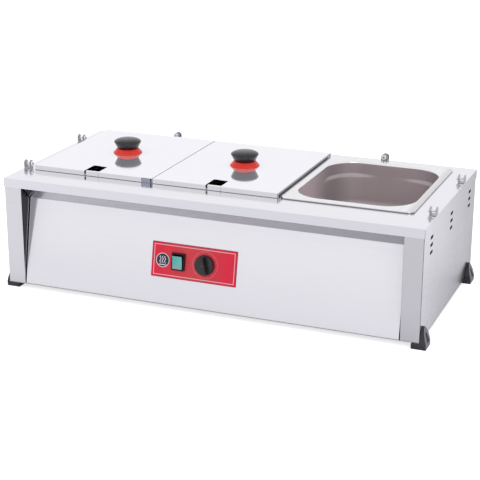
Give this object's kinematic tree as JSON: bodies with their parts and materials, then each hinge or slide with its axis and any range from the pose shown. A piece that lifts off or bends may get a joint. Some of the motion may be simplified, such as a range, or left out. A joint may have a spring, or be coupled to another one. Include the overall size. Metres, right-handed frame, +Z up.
{
  "type": "bain marie",
  "caption": "Countertop wet-heat food warmer: steel case with a leaning control panel, gastronorm pans hung in a shared water tank, lift-off lids, deck clamps for glass and corner feet",
  "frame": {"origin": "On the table, under the middle of the whole object's bounding box. The case's own centre plane is x = 0, and the right feet stand 6.5 mm further out than the left ones, so the box's middle is 3.3 mm to the right of it.", "axes": "+X is the long way of the case, to the right for someone who faces the controls; +Y points from the controls to the back panel; +Z is up"},
  "size_m": [0.8875, 0.4471, 0.2745],
  "materials": {
    "polished_steel": "polished stainless sheet",
    "satin_steel": "satin stainless sheet",
    "pressed_pan_steel": "pressed stainless, satin inside",
    "plated_steel": "bright plated",
    "brass": "turned",
    "copper": null,
    "black_phenolic": "moulded, gloss",
    "black_foot_plastic": "moulded, matt",
    "red_plastic": "moulded, gloss",
    "red_label": "printed plastic plate",
    "green_lens": "lamp lens, gloss",
    "white_block": "moulded, matt",
    "wire_sheath": "heat-proof sheath"
  },
  "bodies": {
    "case": {"deck": "polished_steel", "front_panel": "polished_steel", "side_panel_left": "satin_steel", "side_panel_right": "satin_steel", "back_panel": "satin_steel", "base_plate": "satin_steel", "water_tank": "satin_steel", "heating_element": "satin_steel", "heater_gland_left": "brass", "heater_gland_right": "brass", "label_plate": "red_label", "switch_housing": "black_phenolic", "thermostat_body": "satin_steel", "thermostat_bulb": "copper", "thermostat_capillary": "copper", "terminal_block": "white_block", "wire_block_to_switch": "wire_sheath", "wire_switch_to_thermostat": "wire_sheath", "wire_thermostat_to_heater": "wire_sheath", "wire_heater_to_block": "wire_sheath", "cord_gland": "black_foot_plastic", "cord_gland_nut": "black_foot_plastic", "back_screw_left_lower": "plated_steel", "back_screw_left_upper": "plated_steel", "back_screw_right_lower": "plated_steel", "back_screw_right_upper": "plated_steel", "foot_front_left": "black_foot_plastic", "foot_front_right": "black_foot_plastic", "foot_back_left": "black_foot_plastic", "foot_back_right": "black_foot_plastic", "clamp_left_front": "plated_steel", "clamp_left_back": "plated_steel", "clamp_back_left": "plated_steel", "clamp_back_right": "plated_steel", "clamp_right_front": "plated_steel", "clamp_right_back": "plated_steel"},
    "rocker": {"switch_rocker": "green_lens"},
    "dial": {"thermostat_knob": "black_phenolic", "thermostat_shaft": "plated_steel"},
    "pan_left": {"pan_left": "pressed_pan_steel"},
    "pan_middle": {"pan_middle": "pressed_pan_steel"},
    "pan_right": {"pan_right": "pressed_pan_steel"},
    "lid_left": {"lid_left": "polished_steel", "lid_collar_left": "red_plastic", "lid_knob_left": "black_phenolic", "lid_screw_left": "plated_steel"},
    "lid_middle": {"lid_middle": "polished_steel", "lid_collar_middle": "red_plastic", "lid_knob_middle": "black_phenolic", "lid_screw_middle": "plated_steel"},
    "screw_left_front": {"clamp_screw_left_front": "plated_steel"},
    "screw_left_back": {"clamp_screw_left_back": "plated_steel"},
    "screw_back_left": {"clamp_screw_back_left": "plated_steel"},
    "screw_back_right": {"clamp_screw_back_right": "plated_steel"},
    "screw_right_front": {"clamp_screw_right_front": "plated_steel"},
    "screw_right_back": {"clamp_screw_right_back": "plated_steel"}
  },
  "joints": [
    {"name": "rocker_tilt", "type": "hinge", "parent": "case", "child": "rocker", "pos_m": [-0.057, -0.2029, 0.099], "axis": [1, 0, 0], "range_deg": [-17, 0]},
    {"name": "dial_turn", "type": "hinge", "parent": "case", "child": "dial", "pos_m": [-0.0012, -0.20359, 0.09914], "axis": [0, -0.9824, 0.1867], "range_deg": [-270, 0]},
    {"name": "pan_left_lift", "type": "slide", "parent": "case", "child": "pan_left", "axis": [0, 0, 1], "range_m": [0, 0.11]},
    {"name": "pan_middle_lift", "type": "slide", "parent": "case", "child": "pan_middle", "axis": [0, 0, 1], "range_m": [0, 0.11]},
    {"name": "pan_right_lift", "type": "slide", "parent": "case", "child": "pan_right", "axis": [0, 0, 1], "range_m": [0, 0.11]},
    {"name": "lid_left_lift", "type": "slide", "parent": "pan_left", "child": "lid_left", "axis": [0, 0, 1], "range_m": [0, 0.06]},
    {"name": "lid_middle_lift", "type": "slide", "parent": "pan_middle", "child": "lid_middle", "axis": [0, 0, 1], "range_m": [0, 0.06]},
    {"name": "screw_left_front_travel", "type": "slide", "parent": "case", "child": "screw_left_front", "axis": [1, 0, 0], "range_m": [0, 0.006]},
    {"name": "screw_left_back_travel", "type": "slide", "parent": "case", "child": "screw_left_back", "axis": [1, 0, 0], "range_m": [0, 0.006]},
    {"name": "screw_back_left_travel", "type": "slide", "parent": "case", "child": "screw_back_left", "axis": [0, -1, 0], "range_m": [0, 0.006]},
    {"name": "screw_back_right_travel", "type": "slide", "parent": "case", "child": "screw_back_right", "axis": [0, -1, 0], "range_m": [0, 0.006]},
    {"name": "screw_right_front_travel", "type": "slide", "parent": "case", "child": "screw_right_front", "axis": [-1, 0, 0], "range_m": [0, 0.006]},
    {"name": "screw_right_back_travel", "type": "slide", "parent": "case", "child": "screw_right_back", "axis": [-1, 0, 0], "range_m": [0, 0.006]}
  ]
}
